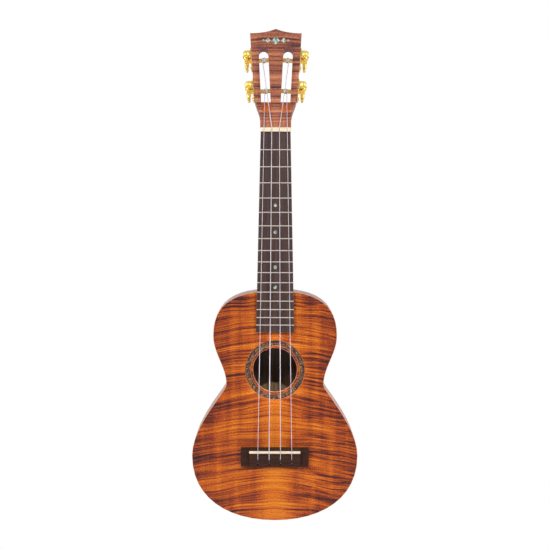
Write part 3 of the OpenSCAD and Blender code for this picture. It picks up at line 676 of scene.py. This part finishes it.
def oval_button(tuner, place):
    """A butterfly button: two rounded ears that thin out from the hub, with soft edges."""
    back = place.inverted()
    points = [back @ v for v in verts_of(tuner + "_button")]
    (x0, x1), (y0, y1), (z0, z1) = (span(points, axis) for axis in range(3))
    centre = Vector((x0 + x1, y0 + y1, z0 + z1)) / 2
    thick, reach, deep = (x1 - x0) / 2, (y1 - y0) / 2, (z1 - z0) / 2
    rings = []
    for k in range(BUTTON_RINGS + 1):
        lift = math.pi * (k / BUTTON_RINGS - 0.5)
        across = math.copysign(abs(math.sin(lift)) ** BUTTON_SQUARE, lift)
        share = max(max(math.cos(lift), 0.0) ** BUTTON_SQUARE, BUTTON_POLE)
        ring = []
        for i in range(BUTTON_SIDES):
            a = TAU * i / BUTTON_SIDES
            edge = (abs(math.cos(a)) ** BUTTON_OVAL
                    + abs(math.sin(a)) ** BUTTON_OVAL) ** (-1 / BUTTON_OVAL)
            edge *= 1 - BUTTON_WAIST * abs(math.sin(a)) ** 8
            y = edge * math.cos(a) * share
            z = edge * math.sin(a) * share
            width = 1 - (1 - BUTTON_TIP) * abs(y) ** BUTTON_THINNING
            hollow = math.exp(-((abs(y) - DISH_AT) / DISH_WIDTH) ** 2) * (1 - share ** 6)
            x = width * across * (1 - DISH_DEPTH * hollow)
            ring.append(centre + Vector((thick * x, reach * y, deep * z)))
        rings.append(ring)
    piece = grid_piece(tuner + "_ears", rings, place, MATERIALS["gold"])
    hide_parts(tuner + "_button")
    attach(piece, tuner + "_key")


TURN_STEPS = 28
WHOLE_TURNS = 3
STRING_END = 2.2             # radii of the string, from its tip, that count as its end
TAIL = 2.6 * MM
TAIL_BEND = (0.4, 0.04), (1.0, 0.3)    # shares of the tail: up and to the front


def wound_string(tuner, string, place):
    """The end of a string: turns round the post from where the straight part meets it."""
    back = place.inverted()
    rings = [back @ v for v in verts_of(tuner + "_winding")]
    reach = [math.hypot(p.y, p.z) for p in rings]
    radius = (max(reach) - min(reach)) / 2
    axis_r = (max(reach) + min(reach)) / 2
    far = min(p.x for p in rings) + radius
    tip = max(v.z for v in verts_of(string))
    ends = [v for v in verts_of(string) if v.z > tip - STRING_END * radius]
    start = back @ (sum(ends, Vector()) / len(ends))
    begin = math.atan2(start.y, start.z)
    whole = WHOLE_TURNS + (-begin / TAU if begin <= 0 else 1 - begin / TAU)
    path = []
    steps = round(whole * TURN_STEPS)
    for k in range(steps + 1):
        t = k / steps
        a = begin + t * whole * TAU
        path.append((start.x + t * (far - start.x), axis_r * math.sin(a), axis_r * math.cos(a)))
    x, y, z = path[-1]
    path += [(x, y + TAIL * up, z + TAIL * front) for up, front in TAIL_BEND]
    turns = tube(tuner + "_turns", path, radius, place, MATERIALS["nylon"])
    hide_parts(tuner + "_winding")
    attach(turns, tuner + "_roller")


WOUND = {"upper_left": "string_2", "lower_left": "string_1",
         "upper_right": "string_3", "lower_right": "string_4"}
for tuner, string in WOUND.items():
    place = tuner_matrix(tuner)
    dome_cap(tuner, place, place.inverted() @ Vector(joints[tuner + "_key_turn"]["pos_m"]))
    oval_button(tuner, place)
    wound_string(tuner, string, place)


# ---------------------------------------------------------------- camera

camera_data = bpy.data.cameras.new("camera")
camera = bpy.data.objects.new("camera", camera_data)
scene.collection.objects.link(camera)
scene.camera = camera
SENSOR_W = 36                # mm
FRAME_W = 0.656              # what the frame holds at the object, in metres
DISTANCE = 1.9
EYE_Z = -0.095
AIM = Vector((-0.0003, 0.0, -0.1903))
ROLL = math.radians(0.15)    # the object hangs a little askew
camera_data.sensor_width = SENSOR_W
eye = Vector((AIM.x, -math.sqrt(DISTANCE ** 2 - (EYE_Z - AIM.z) ** 2), EYE_Z))
camera_data.lens = SENSOR_W * DISTANCE / FRAME_W
camera.location = eye
look = (AIM - eye).to_track_quat("-Z", "Y")
camera.rotation_euler = (look.to_matrix().to_4x4()
                         @ Matrix.Rotation(ROLL, 4, "Z")).to_euler()


# ---------------------------------------------------------------- studio

def area_light(name, place, aim, size, power):
    """A soft round light of a width in metres and a power in watts."""
    data = bpy.data.lights.new(name, "AREA")
    data.shape = "DISK"
    data.size = size
    data.energy = power
    light = bpy.data.objects.new(name, data)
    light.location = place
    light.rotation_euler = (Vector(aim) - Vector(place)).to_track_quat("-Z", "Y").to_euler()
    scene.collection.objects.link(light)


middle = (0, 0, -0.2)        # of the object
area_light("key_left", (-1.1, -2.0, 1.05), middle, 0.7, 24)
area_light("key_right", (1.1, -2.0, 1.05), middle, 0.7, 20)
area_light("left", (-2.1, -0.9, 0.1), middle, 1.2, 12)
area_light("right", (2.1, -0.9, 0.1), middle, 1.2, 12)
area_light("back_left", (-1.2, 1.6, 0.6), middle, 1.2, 8)
area_light("back_right", (1.4, 1.5, 0.2), middle, 1.2, 8)

# A narrow beam through the sound hole lights a patch of the back, as daylight does
beam_data = bpy.data.lights.new("hole_beam", "SPOT")
beam_data.energy = 175
beam_data.spot_size = math.radians(1.5)
beam_data.spot_blend = 0.05
beam_data.shadow_soft_size = 0.01
beam = bpy.data.objects.new("hole_beam", beam_data)
beam.location = (0.06, -1.75, hole.z + 1.42)
beam.rotation_euler = (hole - beam.location).to_track_quat("-Z", "Y").to_euler()
scene.collection.objects.link(beam)

# White paper for the camera, and soft light that is weaker from in front of the object,
# so that the polished front keeps its colours
FRONT_TO_BACK = -0.9, 0.1
WORLD_LEVELS = 0.18, 0.6
world = bpy.data.worlds.new("studio")
world.use_nodes = True
scene.world = world
sky = world.node_tree
ambient = sky.nodes["Background"]
ambient.inputs["Color"].default_value = (0.96, 0.97, 1.0, 1.0)
heading = sky.nodes.new("ShaderNodeTexCoord")
parts = sky.nodes.new("ShaderNodeSeparateXYZ")
sky.links.new(heading.outputs["Generated"], parts.inputs[0])
level = sky.nodes.new("ShaderNodeMapRange")
for socket, value in zip(level.inputs[1:5], FRONT_TO_BACK + WORLD_LEVELS):
    socket.default_value = value
sky.links.new(parts.outputs[1], level.inputs[0])
sky.links.new(level.outputs[0], ambient.inputs["Strength"])
paper = sky.nodes.new("ShaderNodeBackground")
paper.inputs["Color"].default_value = (1.0, 1.0, 1.0, 1.0)
paper.inputs["Strength"].default_value = 1.0
ray = sky.nodes.new("ShaderNodeLightPath")
pick = sky.nodes.new("ShaderNodeMixShader")
sky.links.new(ray.outputs["Is Camera Ray"], pick.inputs[0])
sky.links.new(ambient.outputs[0], pick.inputs[1])
sky.links.new(paper.outputs[0], pick.inputs[2])
sky.links.new(pick.outputs[0], sky.nodes["World Output"].inputs[0])

FLOOR_R = 2.4
FLOOR_Z = -1.2
FLOOR_SIDES = 96
floor_mesh = bpy.data.meshes.new("floor")
ring = [(FLOOR_R * math.cos(TAU * i / FLOOR_SIDES), FLOOR_R * math.sin(TAU * i / FLOOR_SIDES),
         FLOOR_Z) for i in range(FLOOR_SIDES)]
floor_mesh.from_pydata(ring, [], [list(range(FLOOR_SIDES))])
floor = bpy.data.objects.new("floor", floor_mesh)
scene.collection.objects.link(floor)
pale = Shader("pale_floor", Roughness=0.8)
cloud = pale.noise(*pale.spread(0.004, 0.004, 0.0))
pale.colour(pale.ramp(cloud, [(0.3, (0.82, 0.82, 0.82, 1)), (0.7, (0.86, 0.86, 0.86, 1))]))
floor_mesh.materials.append(pale.material)

scene.view_settings.view_transform = "Standard"
scene.view_settings.look = "None"
